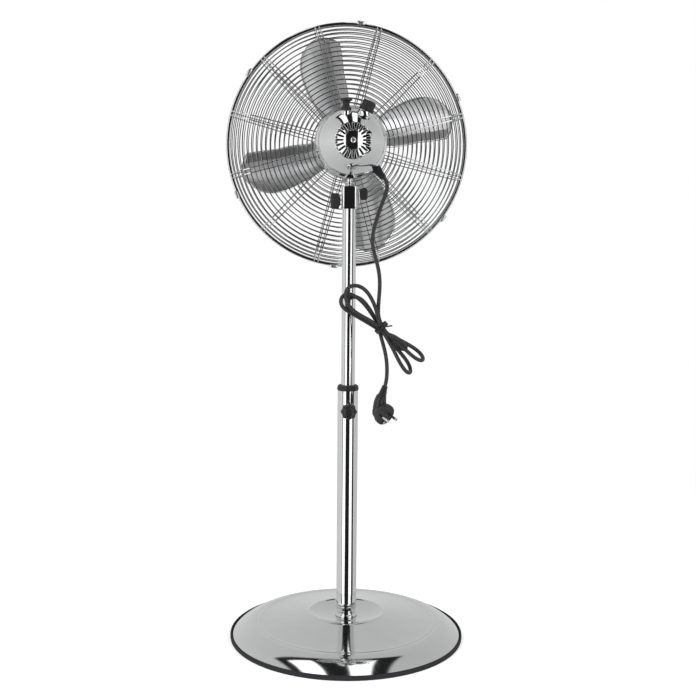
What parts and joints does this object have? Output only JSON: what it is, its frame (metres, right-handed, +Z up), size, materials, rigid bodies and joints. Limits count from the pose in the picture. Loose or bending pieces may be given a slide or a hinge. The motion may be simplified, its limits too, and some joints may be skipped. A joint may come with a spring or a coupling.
{
  "type": "pedestal fan",
  "caption": "Chrome pedestal fan with a round weighted base, telescopic pole, tilting and oscillating bullet-shaped motor head, wire guard, wide blades and a mains lead.",
  "frame": {"origin": "on the pole axis, at the floor under the base", "axes": "+Z up along the pole, +Y the way the air blows, +X to the right as seen from behind the motor housing"},
  "size_m": [0.432, 0.416, 1.0933],
  "materials": {
    "chrome": "polished chrome plate",
    "satin_aluminium": "dark satin",
    "steel": "bright steel",
    "cast_iron": "painted casting",
    "brass": "turned",
    "copper": "enamelled copper wire",
    "black_plastic": "satin moulded",
    "black_rubber": "matt"
  },
  "bodies": {
    "stand": {"base_cover": "chrome", "base_edge_ring": "black_rubber", "base_weight": "cast_iron", "base_flange": "chrome", "base_bolt": "steel", "outer_tube": "chrome", "tube_cap": "black_plastic", "height_boss": "chrome"},
    "height_clamp": {"height_knob": "black_plastic"},
    "mast": {"inner_tube": "chrome", "guide_bush": "black_plastic", "head_socket": "chrome"},
    "socket_clamp": {"socket_knob": "black_plastic"},
    "neck": {"pivot_stem": "chrome"},
    "tilt_clamp": {"tilt_knob": "black_plastic"},
    "head": {"front_shell": "chrome", "housing_seal": "black_rubber", "rear_cover": "chrome", "rear_cover_screw": "chrome", "speed_switch": "black_plastic", "capacitor": "black_plastic", "stator": "steel", "winding_rear": "copper", "winding_front": "copper", "rear_bracket": "satin_aluminium", "front_bracket": "satin_aluminium", "rear_bearing": "brass", "front_bearing": "brass", "swivel_boss": "satin_aluminium", "gearbox": "satin_aluminium", "rear_guard": "chrome", "front_guard": "chrome", "guard_rim": "chrome", "guard_nut": "black_plastic", "front_badge": "chrome", "cord_gland": "black_rubber"},
    "spinner": {"motor_shaft": "steel", "rotor": "steel", "fan_blade": "satin_aluminium", "blade_nut": "black_plastic"},
    "gear": {"worm_wheel": "brass"},
    "crank_body": {"crank": "steel"},
    "link": {"link_bar": "steel"},
    "oscillation_button": {"oscillation_knob": "black_plastic"},
    "speed_dial": {"speed_knob": "black_plastic"},
    "clip_1": {"guard_clip_1": "steel"},
    "clip_2": {"guard_clip_2": "steel"},
    "clip_3": {"guard_clip_3": "steel"},
    "clip_4": {"guard_clip_4": "steel"},
    "clip_5": {"guard_clip_5": "steel"},
    "clip_6": {"guard_clip_6": "steel"},
    "lead": {"cord_drop": "black_rubber", "cord_hank": "black_rubber", "cord_tie": "black_rubber", "cord_tail": "black_rubber", "plug_body": "black_plastic", "plug_pin_1": "chrome", "plug_pin_2": "chrome", "plug_earth": "steel"}
  },
  "joints": [
    {"name": "height_knob_turn", "type": "hinge", "parent": "stand", "child": "height_clamp", "pos_m": [0, -0.038, 0.414], "axis": [0, 1, 0], "range_deg": [-180, 180]},
    {"name": "height_slide", "type": "slide", "parent": "stand", "child": "mast", "axis": [0, 0, 1], "range_m": [-0.15, 0.12]},
    {"name": "socket_knob_turn", "type": "hinge", "parent": "mast", "child": "socket_clamp", "pos_m": [-0.024, 0, 0.775], "axis": [1, 0, 0], "range_deg": [-180, 180]},
    {"name": "head_tilt", "type": "hinge", "parent": "mast", "child": "neck", "pos_m": [0, 0, 0.787], "axis": [1, 0, 0], "range_deg": [-12, 18]},
    {"name": "tilt_knob_turn", "type": "hinge", "parent": "mast", "child": "tilt_clamp", "pos_m": [0.022, 0, 0.787], "axis": [1, 0, 0], "range_deg": [-180, 180]},
    {"name": "oscillation", "type": "hinge", "parent": "neck", "child": "head", "pos_m": [0, 0, 0.8], "axis": [0, 0, 1], "range_deg": [-42, 42]},
    {"name": "blade_spin", "type": "hinge", "parent": "head", "child": "spinner", "pos_m": [0, 0.077, 0.873], "axis": [0, 1, 0], "continuous": true},
    {"name": "worm_wheel_spin", "type": "hinge", "parent": "head", "child": "gear", "pos_m": [-0.0105, -0.079, 0.873], "axis": [0, 0, 1], "continuous": true},
    {"name": "crank_turn", "type": "hinge", "parent": "head", "child": "crank_body", "pos_m": [-0.0105, -0.079, 0.84], "axis": [0, 0, 1], "range_deg": [-95, 95]},
    {"name": "link_swing", "type": "hinge", "parent": "crank_body", "child": "link", "pos_m": [-0.00372, -0.08083, 0.8376], "axis": [0, 0, 1], "range_deg": [-95, 95]},
    {"name": "oscillation_knob_pull", "type": "slide", "parent": "head", "child": "oscillation_button", "axis": [0, 0, 1], "range_m": [0, 0.007]},
    {"name": "speed_knob_turn", "type": "hinge", "parent": "head", "child": "speed_dial", "pos_m": [0.0244, -0.079, 0.92781], "axis": [0.4067, 0, 0.9135], "range_deg": [0, 135]},
    {"name": "guard_clip_1_open", "type": "hinge", "parent": "head", "child": "clip_1", "pos_m": [0.19897, 0.1055, 0.96159], "axis": [-0.4067, 0, 0.9135], "range_deg": [0, 60]},
    {"name": "guard_clip_2_open", "type": "hinge", "parent": "head", "child": "clip_2", "pos_m": [0.02277, 0.1055, 1.08961], "axis": [-0.9945, 0, 0.1045], "range_deg": [0, 60]},
    {"name": "guard_clip_3_open", "type": "hinge", "parent": "head", "child": "clip_3", "pos_m": [-0.1762, 0.1055, 1.00102], "axis": [-0.5878, 0, -0.809], "range_deg": [0, 60]},
    {"name": "guard_clip_4_open", "type": "hinge", "parent": "head", "child": "clip_4", "pos_m": [-0.19897, 0.1055, 0.78441], "axis": [0.4067, 0, -0.9135], "range_deg": [0, 60]},
    {"name": "guard_clip_5_open", "type": "hinge", "parent": "head", "child": "clip_5", "pos_m": [-0.02277, 0.1055, 0.65639], "axis": [0.9945, 0, -0.1045], "range_deg": [0, 60]},
    {"name": "guard_clip_6_open", "type": "hinge", "parent": "head", "child": "clip_6", "pos_m": [0.1762, 0.1055, 0.74498], "axis": [0.5878, 0, 0.809], "range_deg": [0, 60]},
    {"name": "lead_hang", "type": "hinge", "parent": "head", "child": "lead", "pos_m": [0.05564, -0.04441, 0.81395], "axis": [1, 0, 0], "range_deg": [-20, 14]}
  ],
  "couplings": [
    {"joint": "worm_wheel_spin", "follows": "blade_spin", "ratio": 0.071429},
    {"joint": "crank_turn", "follows": "oscillation", "ratio": -2.1387},
    {"joint": "link_swing", "follows": "oscillation", "ratio": 2.1387},
    {"joint": "lead_hang", "follows": "head_tilt", "ratio": -1}
  ]
}
